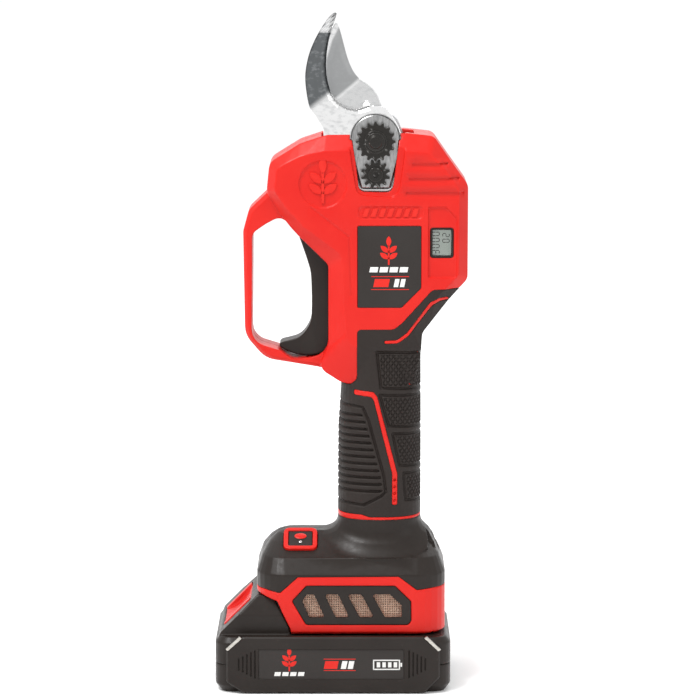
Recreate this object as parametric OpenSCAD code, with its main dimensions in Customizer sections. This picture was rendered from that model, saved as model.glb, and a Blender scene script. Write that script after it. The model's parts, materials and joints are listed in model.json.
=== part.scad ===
/* [Housing] */
// Thickness of the head, front face to rear face
head_depth = 44; // [42:1:50]
// Thickness of the finger guard
guard_depth = 24; // [20:1:30]
// Width of the round grip, trigger side to palm side
grip_width = 41.6; // [40:0.2:44]
// Thickness of the round grip, front to rear
grip_depth = 39; // [37:0.5:42]
// Wall of the housing together with its rubber skin
wall = 3.6; // [3.2:0.1:4]
// Rubber skin over the grip and neck
skin = 1.6; // [1.2:0.1:2]
// Depth of the foot, front to rear
foot_depth = 62; // [58:1:64]

/* [Blades] */
// Thickness of the fixed hook blade
hook_thick = 4; // [3:0.5:4]
// Thickness of the moving blade
cutter_thick = 3.4; // [3:0.2:3.6]
// Running gap between the two blades
blade_gap = 0.1; // [0.05:0.05:0.2]
// Diameter of the pivot bolt
bolt_d = 9; // [8:0.5:9.5]

/* [Drive] */
// Outer diameter of the motor
motor_d = 27.4; // [25:0.2:27.4]
// Length of the motor can below the planet stage
motor_length = 42; // [38:1:42]

/* [Battery pack] */
// Length of the pack
pack_length = 117; // [112:1:117]
// Depth of the pack, front plate to rear plate
pack_depth = 76; // [74:1:80]
// Height of the pack deck
pack_deck = 28; // [27:0.5:28]

/* [Hidden] */
$fn = 48;

// Planes of the head, measured along Y from the parting plane
face = head_depth / 2;
bevel_start = 16.4;
guard_half = guard_depth / 2;
plate_back = 16.2;
plate_thick = 2;
hook_front = plate_back;
hook_back = hook_front - hook_thick;
cutter_front = hook_back - blade_gap;
cutter_back = cutter_front - cutter_thick;
frame_front = 4.2;

// Teeth of a full turn of the sector gear, of its pinion, and of the planet stage
crown_teeth = 44;
pinion_teeth = 11;
sun_teeth = 12;
planet_teeth = 12;
ring_teeth = 36;
planet_module = 0.7;

// Blade pivot, lock gear and drive axis in the X-Z plane
pivot_x = 17;
pivot_z = 273;
lock_z = pivot_z - 16;
crown_r = crown_teeth / 2;
pinion_z = pivot_z - crown_r;

// Drive train heights along Z
motor_high = 200;
motor_low = motor_high - motor_length;
stage_low = 206;
stage_high = 224;
planet_r = planet_module * (sun_teeth + planet_teeth) / 2;

// Grip stations: height, centre in X, half width, half depth
grip_hw = grip_width / 2;
grip_hd = grip_depth / 2;
GRIP = [[64, 19.2, grip_hw, grip_hd - 1], [90, 19.2, grip_hw, grip_hd - 1],
    [110, 19.2, grip_hw, grip_hd - 0.2], [130, 19.3, grip_hw - 0.1, grip_hd + 0.3],
    [148, 19.9, grip_hw - 0.8, grip_hd + 0.8], [165, 20.2, grip_hw - 1.2, grip_hd + 1.5],
    [186, 21.5, grip_hw - 1, grip_hd + 1.8]];

// Foot stations: height, left end, right end, half depth, corner radius
foot_half = foot_depth / 2;
FOOT = [[29.6, -42, 52, foot_half, 14], [58.6, -42, 52, foot_half, 14],
    [66.2, -39.4, 49, foot_half - 5.8, 11], [72, -35.4, 45.4, foot_half - 16.7, 7],
    [75.2, -31.6, 42, foot_half - 22.7, 5], [76.4, -28.4, 40, foot_half - 25, 4.4]];

// Power button frame: width, length along the slope, corner radius
POWER = [[-8.4, -8.1, 3.2], [8.4, -8.1, 3.2], [8.4, 8.1, 3.2], [-8.4, 8.1, 3.2]];

trigger_x = -8;
trigger_z = 240;
trigger_half = 8;
// Housing screws: x, z
SCREWS = [[-26, 252], [50.5, 247], [50, 204.5], [34.8, 178], [19.2, 90], [-33, 58], [43, 58]];
// Head outline at the sides of the body: x, z, corner radius
BODY_EDGE = [[36, 150, 3], [39.6, 168, 6], [40.2, 178, 6], [53, 194.5, 4],
    [62.5, 205, 5], [62.5, 251.5, 6], [53.5, 264, 4], [45.5, 275.5, 5], [31.5, 277, 4],
    [-7.3, 276, 4], [-20, 271.8, 12], [-35, 262.5, 6], [-36.5, 248, 6], [-29, 236, 4],
    [-20, 224.5, 5], [-6.5, 211.5, 5], [-6.2, 173, 5], [-11, 160.4, 5], [0.5, 153, 10]];
// Head outline on the flat front face, corner for corner
BODY_FACE = [[32, 172, 3], [33, 176, 3], [35.6, 184, 6], [48.5, 198, 4],
    [58, 207.5, 4], [58, 249.5, 5], [49.5, 261.5, 4], [43.5, 267.5, 4], [31.5, 268.4, 4],
    [-8, 268.4, 4], [-20, 265.8, 12], [-31.2, 260, 4], [-32.4, 249, 5], [-27, 240.5, 4],
    [-18.5, 231.5, 5], [0.6, 217, 5], [1.6, 190, 5], [2.4, 176, 4], [8, 171, 3]];
GUARD_EDGE = [[8, 160, 3], [8, 245, 3], [-30, 256, 3], [-36.5, 247, 6], [-45.4, 238.6, 6],
    [-48.3, 228, 8], [-47.6, 176, 12], [-37.5, 164.4, 12], [-12, 160.2, 20], [-2.4, 158.2, 5],
    [1, 154, 3]];
GUARD_HOLE = [[-6.2, 166, 9], [-6.2, 212, 4], [-21, 226.5, 4], [-29.5, 235.6, 5],
    [-37, 231.6, 4], [-43.7, 227, 5], [-44.2, 173, 8], [-30, 168.6, 6], [-24, 164.2, 6]];
// Area of the head and grip that is covered in black rubber
RUBBER = [[8, 155, 3.4], [8, 180.4, 2], [26.2, 180.4, 3], [30.4, 183.8, 2], [45, 200, 3],
    [70, 201.2, 1], [70, 85.4, 1], [14, 85.4, 1], [10.4, 86.6, 1], [-20, 86.6, 1],
    [-20, 152, 1], [4.4, 152, 3]];
TRIM_UPPER = [[21.4, 173.2, 0.8], [28.2, 173.6, 3], [33.2, 177.2, 2], [44.8, 192.4, 3],
    [49, 194.6, 2], [53.4, 195, 0.2], [52.6, 196.4, 0.2], [48.2, 196, 2], [44, 194, 3],
    [32.6, 178.8, 2], [27.8, 175.2, 3], [21.4, 174.8, 0.6]];
TRIM_SIDE = [[6.5, 147.2, 0.6], [14.8, 146.4, 2], [16.2, 145, 1.5], [25.4, 107.6, 2],
    [25.4, 91.6, 0.4], [28, 91.6, 0.4], [28, 107.6, 2], [18, 146.6, 2], [16, 149, 2],
    [6.5, 149.8, 0.6]];
PLATE_NOTCH = [[9, 248.4, 3], [24.8, 248.2, 3], [25.8, 252, 2], [29.8, 285, 1], [3.8, 285, 1],
    [7.4, 262, 6]];

// Blade outlines as x, z control points of a smooth closed curve
HOOK = [[-2, 335], [-5.4, 333.6], [-10.4, 326.4], [-15, 316.7], [-17.2, 306.9], [-17, 298.7],
    [-15.1, 288.9], [-11, 282], [-8.6, 277.6], [-9, 272.4], [-11.6, 268.4], [-13.6, 261],
    [-12.4, 252], [-8, 245.8], [4, 245], [17, 246], [27, 247.6], [30.6, 256], [31, 268],
    [29.2, 277.6], [25.6, 284.6], [21.8, 289.2], [17.6, 290], [13, 290], [8.4, 288.6], [4, 289],
    [0, 291], [-3.4, 294.4], [-5.6, 299], [-7, 306], [-6.9, 315.2], [-5.2, 325]];
CUTTER = [[-2.3, 330.6], [-6.4, 323], [-9.4, 313], [-9.8, 303], [-7, 294], [-2, 286],
    [2.6, 279], [3.4, 272], [6, 266], [11, 261.6], [17, 260], [24, 262], [28.4, 266.6],
    [30, 273], [28.6, 279], [24.6, 285], [20.2, 289.8], [18.2, 294.5], [15.8, 298],
    [12.6, 300.8], [8.9, 303.3], [6, 306.9], [3.5, 312.6], [1.6, 319.4], [-0.4, 326.7]];
RETAINER = [[4.6, 286.4, 12.1], [4.6, 268, 6], [9.3, 249.3, 3], [24.8, 249.3, 3], [29.2, 266, 6],
    [29.2, 286.4, 12.1]];
TRIGGER = [[-21, 227], [-19.3, 221], [-16.4, 212.3], [-14.8, 204.8], [-14.6, 186.3],
    [-16.4, 179.7], [-20.4, 174.9], [-25.8, 173], [-29.6, 172], [-30.6, 170], [-28.2, 168.2],
    [-22.6, 166], [-15.9, 165.4], [-10, 166.2], [-5.8, 169.4], [-5, 176], [-5, 212],
    [-3.4, 222], [-3, 236], [-5, 243], [-10, 244.4], [-14, 240], [-18, 232]];
FOOT_AREA = [[-60, 51], [-38, 51], [-30.2, 49.6], [-21.4, 57.6], [28.6, 58], [37.6, 51.2],
    [45, 52], [70, 52], [70, 90], [-60, 90]];
FOOT_CUT = [[-60, 20], [-23.8, 20], [-25, 31], [-29.2, 39.8], [-31.6, 45.4], [-41, 48.4],
    [-60, 48.4]];
VENT = [[-24.4, 45.6, 1.5], [-17.4, 33.4, 1.5], [33.4, 33.4, 1.5], [35, 35.6, 1],
    [34.8, 45.6, 1.5], [26.8, 53.4, 1.5], [-17.2, 53.4, 1.5]];
VENT_INSERT = [[-24.2, 45.6, 1.5], [-17.3, 33.6, 1.5], [33.3, 33.6, 1.5], [34.8, 35.7, 1],
    [34.6, 45.5, 1.5], [26.7, 53.2, 1.5], [-17.1, 53.2, 1.5]];
MESH_SHEET = [[-20.6, 45.6, 1], [-16.4, 35.4, 1], [32, 35.4, 1], [32, 44.2, 1], [25.4, 51, 1],
    [-16.8, 51, 1]];
WINDOWS = [
    [[-19.2, 45.6, 0.6], [-15.8, 37.2, 1], [-8, 37.2, 1], [-13.4, 49, 1], [-16.8, 49, 1]],
    [[-2.6, 37.2, 1], [4.2, 37.2, 1], [-1.4, 49, 1], [-8.2, 49, 1]],
    [[9.4, 37.2, 1], [16.4, 37.2, 1], [10.2, 49, 1], [3, 49, 1]],
    [[21.8, 37.2, 1], [30.2, 37.2, 1], [30.2, 43.4, 1], [24.2, 49, 1], [15.4, 49, 1]]];
PLATE_BEVEL = [[8, 247, 4], [26.6, 245.6, 4], [29, 251, 2], [34.2, 290, 1], [1.6, 290, 1],
    [5.4, 262, 6]];
NAME_PLATE = [[8, 191.2, 0.5], [30, 191.2, 0.6], [39.6, 201, 0.6], [39.6, 231.8, 0.5],
    [8, 231.8, 0.5]];
WORD_STRIP = [[8.4, 235, 2.4], [40.4, 235, 2.4], [40.4, 241.6, 2.4], [8.4, 241.6, 2.4]];
DISPLAY_SEAT = [[42.8, 206, 1], [57, 206, 1], [57, 235.4, 1], [51.6, 241.2, 1],
    [42.8, 241.2, 1]];
DISPLAY_HOLE = [[43.8, 215.8, 1.4], [55.4, 215.8, 1.4], [55.4, 230.8, 1.4], [43.8, 230.8, 1.4]];
FRAME = [[-15, 246, 3], [-4, 244, 3], [6, 243, 2], [28, 243, 3], [30, 262, 4], [31.4, 273, 8],
    [27, 286, 9], [9, 287, 9], [-8.8, 271, 4], [-15, 268.8, 3]];
WEDGE = [[-61.4, 15, 1.5], [-24.6, 15, 1.5], [-25.6, 31.6, 1.5], [-30.2, 40.4, 1.5],
    [-33.4, 46, 2], [-41.4, 47.8, 2], [-60.6, 28.6, 3]];
SIDE_PLATE = [[-48.8, 0.6, 1], [41.6, 0.6, 1], [49, 8.4, 2], [49, 22.4, 2], [41.2, 29, 2],
    [-48.8, 29, 2], [-56.8, 22.4, 2], [-56.8, 6, 2]];
BAR_LEFT = [[-57.2, 22.9], [-55.9, 22], [-49, 28.3], [-50.2, 29.4]];
BAR_RIGHT = [[48.2, 21.8], [49.6, 22.7], [42.4, 29.5], [41.2, 28.5]];
PACK_SCREWS = [[-54, -28], [46, -28], [46, 28], [-54, 28]];
HOOK_SCREWS = [[-8.8, 262], [-6.8, 250]];
RIVETS = [-30, -150];
nut_back = plate_back + plate_thick;
nut_teeth = 16;
lock_teeth = 12;
bushing_d = 13;
frame_back = 8;
bolt_head = 5;
crown_face = 2.4;
crown_root = 6.45;
crown_tip = -4.8;

function unit(v) = v / norm(v);
// Points of one rounded corner b between its neighbours a and c
function fillet(a, b, c, r, n) =
    let (u = unit(a - b), v = unit(c - b), half = acos(u * v) / 2,
        o = b + unit(u + v) * r / sin(half), t = r / tan(half),
        p = b + u * t - o, q = b + v * t - o,
        start = atan2(p.y, p.x), turn = atan2(q.y, q.x) - start,
        sweep = turn > 180 ? turn - 360 : turn < -180 ? turn + 360 : turn)
    [for (k = [0 : n]) o + r * [cos(start + sweep * k / n), sin(start + sweep * k / n)]];
// Outline with every corner rounded to its own radius
function rounded(p, n = 4) =
    let (c = len(p), q = [for (a = p) [a.x, a.y]])
    [for (i = [0 : c - 1]) each fillet(q[(i + c - 1) % c], q[i], q[(i + 1) % c], p[i][2], n)];
// Rounded outline whose corners, in counter-clockwise order, have moved inwards by d
function shrunk(p, d, n = 4) =
    let (c = len(p), q = [for (a = p) [a.x, a.y]])
    rounded([for (i = [0 : c - 1])
        let (u = unit(q[i] - q[(i + c - 1) % c]), v = unit(q[(i + 1) % c] - q[i]),
            m = q[i] + [-u.y - v.y, u.x + v.x] * d / (1 + u * v))
        [m.x, m.y, max(0.4, p[i][2] - (cross(u, v) > 0 ? d : 0))]], n);
// Smooth closed curve through control points
function smooth(p, n = 4) =
    let (c = len(p))
    [for (i = [0 : c - 1], k = [0 : n - 1])
        let (a = p[(i + c - 1) % c], b = p[i], d = p[(i + 1) % c], e = p[(i + 2) % c], t = k / n)
        0.5 * (2 * b + (d - a) * t + (2 * a - 5 * b + 4 * d - e) * t * t
            + (3 * b - a - 3 * d + e) * t * t * t)];
function sign_pow(v, e) = sign(v) * pow(abs(v), e);
// Ring of a rounded oval at height z, grown or shrunk by d
function oval(s, d, n = 40) =
    [for (k = [0 : n - 1]) let (a = 360 * (k + 0.5) / n)
        [s[1] + (s[2] + d) * sign_pow(cos(a), 0.84), (s[3] + d) * sign_pow(sin(a), 0.84), s[0]]];
// Ring of a rounded box at height z
function box_ring(s, d) =
    let (h = s[3] - d)
    [for (p = rounded([[s[1] + d, -h, s[4] - d], [s[2] - d, -h, s[4] - d],
        [s[2] - d, h, s[4] - d], [s[1] + d, h, s[4] - d]], 6)) [p.x, p.y, s[0]]];
// Half the angle of an involute tooth at radius r
function tooth_half(n, m, thin, r) =
    let (pitch = n * m / 2, base = pitch * cos(20), p = acos(base / pitch),
        q = r > base ? acos(base / r) : 0)
    90 / n - thin * 180 / (PI * pitch) + (tan(p) - tan(q)) * 180 / PI - p + q;
// Spur gear outline: teeth, module, addendum and dedendum in modules, thinning, first angle
function gear(n, m, add, ded, thin, first) =
    let (radii = [m * (n / 2 - ded), m * (n / 2 - ded / 2), m * n / 2, m * (n / 2 + add / 2),
        m * (n / 2 + add)], c = len(radii))
    [for (k = [0 : n - 1], i = [0 : 2 * c - 1])
        let (r = radii[i < c ? i : 2 * c - 1 - i], side = i < c ? -1 : 1,
            a = first + 360 * k / n + side * tooth_half(n, m, thin, r))
        r * [cos(a), sin(a)]];
// Coarse cog outline with flat-topped teeth
function cog(n, root, tip, flat) =
    [for (k = [0 : n - 1], s = [[root, -0.34], [tip, -flat / 2], [tip, flat / 2], [root, 0.34]])
        let (a = 90 + 360 * (k + s[1]) / n) s[0] * [cos(a), sin(a)]];
// Sector plate from its hub to just outside the teeth
function sector_outline() =
    let (from = 270 - 20, to = 270 + 76, out = crown_r + crown_face / 2 + 0.3)
    concat([for (k = [0 : 16]) let (a = from + (to - from) * k / 16)
        [pivot_x + out * cos(a), pivot_z + out * sin(a)]],
        [for (k = [0 : 12]) let (a = to + 14 + (from + 360 - to - 28) * k / 12)
        [pivot_x + 8.6 * cos(a), pivot_z + 8.6 * sin(a)]]);
// Smooth open curve through control points
function path(p, n = 5) =
    let (c = len(p) - 1)
    concat([for (i = [0 : c - 1], k = [0 : n - 1])
        let (a = p[max(i - 1, 0)], b = p[i], d = p[i + 1], e = p[min(i + 2, c)], t = k / n)
        0.5 * (2 * b + (d - a) * t + (2 * a - 5 * b + 4 * d - e) * t * t
            + (3 * b - a - 3 * d + e) * t * t * t)], [p[c]]);
function at_y(p, y) = [for (a = p) [a.x, y, a.y]];

// Solid through a stack of rings that have the same number of points
module loft(rings) {
    n = len(rings[0]);
    m = len(rings);
    sides = [for (k = [0 : m - 2], i = [0 : n - 1])
        let (a = k * n + i, b = k * n + (i + 1) % n)
        each [[a, a + n, b + n], [a, b + n, b]]];
    low = [for (i = [0 : n - 1]) i];
    high = [for (i = [n - 1 : -1 : 0]) (m - 1) * n + i];
    polyhedron([for (r = rings) each r], concat([low], sides, [high]), convexity = 8);
}
// Closed ring that cuts a bevel from an outline at one depth to a smaller one in front of it
module bevel_ring(edge, flat, start, end) {
    n = len(edge);
    reach = 0.15;
    low = start - (end - start) * reach;
    high = end + (end - start) * reach;
    points = [for (i = [0 : n - 1])
        let (step = edge[i] - flat[i], o = edge[i] + step * reach, q = flat[i] - step * reach)
        each [[o.x, -low, o.y], [q.x, -high, q.y], [o.x + step.x, -high, o.y + step.y]]];
    faces = [for (i = [0 : n - 1], k = [0 : 2])
        let (j = (i + 1) % n, a = 3 * i + k, b = 3 * i + (k + 1) % 3, c = 3 * j + k,
            d = 3 * j + (k + 1) % 3)
        each [[a, c, d], [a, d, b]]];
    polyhedron(points, faces, convexity = 10);
}
// Round bar of radius r swept along points that never run along the direction across
module tube(p, r, sides, across = [0, 1, 0]) {
    c = len(p);
    loft([for (i = [0 : c - 1])
        let (t = unit(p[min(i + 1, c - 1)] - p[max(i - 1, 0)]),
            u = unit(cross(across, t)), v = cross(t, u))
        [for (k = [0 : sides - 1])
            p[i] + r * (u * cos(360 * k / sides) + v * sin(360 * k / sides))]]);
}
// Plate from an X-Z outline, between two distances in front of the parting plane
module plate(outline, from, to) {
    translate([0, -from, 0])
        rotate([90, 0, 0])
            linear_extrude(to - from)
                polygon(outline);
}
// Box given by its lowest and highest corners
module block(low, high) {
    translate(low)
        cube(high - low);
}
// Cylinder along Y from one distance in front of the parting plane to another
module pin_y(x, z, from, to, d) {
    translate([x, -from, z])
        rotate([90, 0, 0])
            cylinder(h = to - from, d = d);
}
module pin_z(x, y, from, to, d) {
    translate([x, y, from])
        cylinder(h = to - from, d = d);
}
module front_or_rear(rear) {
    mirror([0, rear ? 1 : 0, 0])
        children();
}

/* Housing */
// Outside of the head and handle, front half, cut off below z = low
module body_half(low) {
    edge = rounded(BODY_EDGE);
    difference() {
        plate(edge, 0, face);
        bevel_ring(edge, rounded(BODY_FACE), bevel_start, face);
    }
    grip_half(0, low, 186);
}
// The same shape shrunk by d, with a step in place of the bevel
module core_half(d, low) {
    plate(shrunk(BODY_EDGE, d), 0, bevel_start);
    plate(shrunk(BODY_FACE, d / 2), 0, face - d);
    grip_half(d, low, 186);
}
module grip_half(d, low, high) {
    intersection() {
        loft([for (s = GRIP) oval(s, -d)]);
        block([-60, -60, low], [80, 0, high]);
    }
}
module guard_half() {
    edge = rounded(GUARD_EDGE);
    difference() {
        plate(edge, 0, guard_half);
        bevel_ring(edge, shrunk(GUARD_EDGE, 1.8), guard_half - 2, guard_half);
        plate(rounded(GUARD_HOLE), -1, 30);
    }
}
// Front half of the foot, shrunk by d at its sides and top
module foot_half_solid(d) {
    intersection() {
        loft([for (s = FOOT) box_ring([s[0] > 60 ? s[0] - d : s[0] - min(d, 1), s[1], s[2], s[3], s[4]], d)]);
        block([-60, -60, 0], [80, 0, 100]);
    }
}
module trims() {
    plate(rounded(TRIM_UPPER), 0, 30);
    plate(rounded(TRIM_SIDE), 0, 30);
}
// Rubber skin over the neck and grip
module rubber_half() {
    difference() {
        intersection() {
            body_half(84);
            plate(rounded(RUBBER), 0, 30);
        }
        core_half(skin, 80);
        trims();
    }
}
// Dark skin over the neck's foot and the shoulders
module foot_skin_half() {
    difference() {
        intersection() {
            union() {
                foot_half_solid(0);
                grip_half(0, 66, 84);
            }
            plate(FOOT_AREA, 0, 40);
        }
        foot_half_solid(skin);
        grip_half(skin, 66, 90);
        plate(FOOT_CUT, -1, 40);
    }
}
module bosses(d, from, to) {
    for (s = SCREWS)
        pin_y(s.x, s.y, from, to, d);
}
// Space inside one half
module cavity_half(slot_depth) {
    core_half(wall, 60);
    foot_half_solid(wall);
    // slot that the blades leave through
    block([-9.6, -slot_depth, 262], [31.6, 0, 290]);
    block([31, -min(slot_depth, hook_back), 262], [36, 0, 290]);
    block([-13.8, -hook_front - 0.1, 262], [0, 0, 270.2]);
    // room for the head of the pivot bolt
    pin_y(pivot_x, pivot_z, 0, frame_back + bolt_head + 0.3, 16.4);
    // mouth and trough that the trigger moves in
    block([-26, -trigger_half - 0.8, 166], [0, 0, 236]);
    block([-17, -trigger_half - 0.8, 162.6], [4, 0, 180]);
    // open underside around the pack's rail
    block([-70, -27, 20], [46, 0, 29.7]);
}
module shell_half(slot_depth) {
    difference() {
        union() {
            difference() {
                union() {
                    core_half(skin, 66);
                    difference() {
                        body_half(84);
                        plate(rounded(RUBBER), -1, 30);
                    }
                    intersection() {
                        body_half(84);
                        trims();
                    }
                    guard_half();
                    foot_half_solid(skin);
                    difference() {
                        foot_half_solid(0);
                        plate(FOOT_AREA, -1, 40);
                    }
                }
                cavity_half(slot_depth);
            }
            // rails that hold the pack
            block([-22, -28, 30], [46, -15, 33]);
            intersection() {
                bosses(8, 0, 30);
                union() {
                    core_half(skin, 66);
                    foot_half_solid(skin);
                }
            }
        }
        plate(rounded(GUARD_HOLE), -1, 30);
        plate(FOOT_CUT, -1, 40);
        plate(rounded(VENT), foot_half - 2, 40);
        for (w = WINDOWS)
            plate(shrunk(w, -0.8), 20, 40);
    }
}
// Layer of the power button on the sloping front of the foot, shrunk by d
module power_slab(d, low, high) {
    translate([-20.3, -12.6, 72.8])
        rotate([28, 0, 0])
            translate([0, 0, low])
                linear_extrude(high - low)
                    polygon(shrunk(POWER, d, 6));
}
module shell_front() {
    color("red")
        difference() {
            shell_half(hook_front + 0.1);
            bosses(2.8, -1, 12);
            power_slab(-0.1, -12, 8);
            // small openings at the lower end of the side trim
            for (k = [0 : 3])
                pin_y(26.7, 93.8 + 3.5 * k, 16.8, 30, 1.6);
            plate(rounded(PLATE_NOTCH), plate_back, 30);
            plate(shrunk(RETAINER, -0.15), plate_back, nut_back + 0.2);
            plate(rounded(PLATE_BEVEL), face - 1.2, 30);
            plate(rounded(NAME_PLATE), face - 1, 30);
            pin_y(-8.8, 252.2, face - 0.8, 30, 23.4);
            plate(rounded(WORD_STRIP), face - 0.6, 30);
            plate(rounded(DISPLAY_SEAT), face - 1, 30);
            plate(rounded(DISPLAY_HOLE), 10, 30);
        }
}
module shell_rear() {
    color("red")
        front_or_rear(true)
            difference() {
                shell_half(frame_back + 0.2);
                bosses(3.4, -1, 10);
                bosses(6.4, 8, 40);
            }
}
module grip_front() {
    color([0.1, 0.1, 0.1])
        rubber_half();
}
module grip_rear() {
    color([0.1, 0.1, 0.1])
        front_or_rear(true)
            difference() {
                rubber_half();
                bosses(6.4, 8, 40);
            }
}
module foot_cover_front() {
    color([0.11, 0.11, 0.11])
        difference() {
            foot_skin_half();
            power_slab(-0.1, -12, 8);
        }
}
module foot_cover_rear() {
    color([0.11, 0.11, 0.11])
        front_or_rear(true)
            difference() {
                foot_skin_half();
                bosses(6.4, 8, 40);
            }
}
module vent_grille() {
    difference() {
        plate(rounded(VENT_INSERT), foot_half - 2, foot_half);
        for (w = WINDOWS)
            plate(rounded(w), 20, 40);
    }
}
module vent_grille_front() {
    color([0.15, 0.15, 0.15])
        vent_grille();
}
module vent_grille_rear() {
    color([0.15, 0.15, 0.15])
        front_or_rear(true)
            vent_grille();
}
module vent_mesh() {
    color([0.72, 0.6, 0.5])
        for (rear = [false, true])
            front_or_rear(rear)
                plate(rounded(MESH_SHEET), foot_half - wall - 0.5, foot_half - wall);
}
module housing_screws() {
    color("silver")
        for (s = SCREWS)
            difference() {
                union() {
                    pin_y(s.x, s.y, -8, 11, 2.8);
                    pin_y(s.x, s.y, -10.4, -8, 5.4);
                }
                pin_y(s.x, s.y, -11, -9, 2.4);
            }
}

/* Name plate and display */
module name_plate() {
    color([0.2, 0.2, 0.2])
        plate(shrunk(NAME_PLATE, 0.2), face - 1, face - 0.1);
}
module display_bezel() {
    color([0.05, 0.05, 0.05])
        difference() {
            plate(shrunk(DISPLAY_HOLE, 0.15), face - 5, face - 1.2);
            plate(shrunk(DISPLAY_HOLE, 1.1), face - 6, face);
        }
}
module display_window() {
    color([0.3, 0.33, 0.33])
        plate(shrunk(DISPLAY_HOLE, 1.1), face - 2.6, face - 1.4);
}
module lcd_panel() {
    color([0.55, 0.58, 0.55])
        plate(shrunk(DISPLAY_HOLE, 1.3), face - 4.8, face - 3);
}
module display_board() {
    color("darkgreen") {
        block([42.6, 5.4 - face, 212], [55.8, 6.6 - face, 234]);
        block([45, 6.6 - face, 218], [54, 9 - face, 226]);
    }
}

/* Trigger */
module trigger() {
    color([0.08, 0.08, 0.08])
        difference() {
            plate(smooth(TRIGGER), -trigger_half, trigger_half);
            pin_y(trigger_x, trigger_z, -10, 10, 4.1);
            // hollow back
            plate([[-9, 186], [0, 186], [0, 208], [-9, 208]], 2.4 - trigger_half, trigger_half - 2.4);
        }
}
module trigger_pin() {
    color("silver")
        pin_y(trigger_x, trigger_z, -11, 11, 4);
}
module trigger_spring() {
    turns = 4;
    color("silver")
        tube([for (k = [0 : 12 * turns])
            [-3.3 + 4.3 * k / (12 * turns), 2.2 * cos(30 * k), 217 + 2.2 * sin(30 * k)]],
            0.35, 6, [1, 0, 0]);
}
module trigger_switch() {
    color([0.12, 0.12, 0.12]) {
        block([0.4, -4, 228.6], [5.4, 4, 239.6]);
        block([-1.4, -1.2, 230], [0.4, 1.2, 232.4]);
    }
}

/* Power button */
module power_frame() {
    color("red")
        difference() {
            power_slab(0, -2.2, 1.2);
            power_slab(2.3, -3, 3);
        }
}
module power_button() {
    color([0.1, 0.1, 0.1])
        power_slab(2.5, -1.4, 0.9);
}
module power_board() {
    color("darkgreen") {
        power_slab(2.2, -6.6, -5.4);
        power_slab(6, -5.4, -2.8);
    }
}

/* Blades */
module hook_blade() {
    color([0.75, 0.76, 0.77])
        difference() {
            plate(smooth(HOOK), hook_back, hook_front);
            pin_y(pivot_x, pivot_z, 0, 30, bolt_d);
            pin_y(pivot_x, lock_z, 0, 30, 4);
            for (s = HOOK_SCREWS)
                pin_y(s.x, s.y, 0, 30, 4.2);
        }
}
module hook_screws() {
    color([0.3, 0.3, 0.3])
        for (s = HOOK_SCREWS) {
            pin_y(s.x, s.y, 0, hook_front, 4);
            pin_y(s.x, s.y, hook_front, hook_front + 2, 7);
        }
}
module cutting_blade() {
    color([0.7, 0.71, 0.72])
        difference() {
            plate(smooth(CUTTER), cutter_back, cutter_front);
            pin_y(pivot_x, pivot_z, 0, 30, bushing_d);
            for (a = RIVETS)
                pin_y(pivot_x + 10.4 * cos(a), pivot_z + 10.4 * sin(a), 0, 30, 3);
            // grease hole that peeps out beside the hook
            pin_y(12.6, 290.3, 0, 30, 3.7);
        }
}
module sector_gear() {
    color([0.45, 0.45, 0.46])
        difference() {
            union() {
                plate(sector_outline(), crown_root, cutter_back);
                for (k = [-9 : 2])
                    translate([pivot_x, 0, pivot_z])
                        rotate([0, k * 360 / crown_teeth, 0])
                            translate([0, 0, -crown_r - crown_face / 2])
                                linear_extrude(crown_face)
                                    polygon([[-0.9, -crown_root - 0.2], [0.9, -crown_root - 0.2],
                                        [0.34, crown_tip], [-0.34, crown_tip]]);
            }
            pin_y(pivot_x, pivot_z, 0, 30, bushing_d);
            for (a = RIVETS)
                pin_y(pivot_x + 10.4 * cos(a), pivot_z + 10.4 * sin(a), 0, 30, 3);
        }
}
module gear_rivets() {
    color("silver")
        for (a = RIVETS)
            pin_y(pivot_x + 10.4 * cos(a), pivot_z + 10.4 * sin(a), crown_root, cutter_front, 3);
}
module pivot_bushing() {
    color([0.72, 0.53, 0.25])
        difference() {
            pin_y(pivot_x, pivot_z, crown_root, cutter_front, bushing_d);
            pin_y(pivot_x, pivot_z, 0, 30, bolt_d + 0.1);
        }
}
module thrust_washer() {
    color("silver")
        difference() {
            pin_y(pivot_x, pivot_z, frame_front, crown_root - 0.1, 18);
            pin_y(pivot_x, pivot_z, 0, 30, bolt_d);
        }
}
module pivot_bolt() {
    color([0.2, 0.2, 0.2]) {
        pin_y(pivot_x, pivot_z, -frame_back, 23.6, bolt_d);
        translate([pivot_x, -23.6, pivot_z])
            rotate([90, 0, 0])
                cylinder(h = 0.9, d1 = 7, d2 = 5.4);
        translate([pivot_x, frame_back + bolt_head, pivot_z])
            rotate([90, 0, 0])
                cylinder(h = bolt_head, d = 15, $fn = 6);
    }
}
module toothed_nut() {
    color([0.16, 0.16, 0.16])
        difference() {
            union() {
                translate([pivot_x, -nut_back, pivot_z])
                    rotate([90, 0, 0])
                        linear_extrude(4)
                            polygon(cog(nut_teeth, 8.25, 9.75, 0.2));
                pin_y(pivot_x, pivot_z, nut_back, nut_back + 5, 11);
            }
            pin_y(pivot_x, pivot_z, 0, 30, bolt_d);
        }
}
module retainer_plate() {
    color([0.3, 0.29, 0.27])
        difference() {
            plate(rounded(RETAINER, 8), plate_back, nut_back);
            pin_y(pivot_x, pivot_z, 0, 30, bolt_d);
            pin_y(pivot_x, lock_z, 0, 30, 4);
        }
}
module lock_gear() {
    color([0.17, 0.17, 0.17])
        difference() {
            translate([pivot_x, -nut_back, lock_z])
                rotate([90, 0, 0])
                    rotate([0, 0, 15])
                        linear_extrude(3)
                            polygon(cog(lock_teeth, 5.4, 7.2, 0.3));
            pin_y(pivot_x, lock_z, 0, 30, 4);
        }
}
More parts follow.
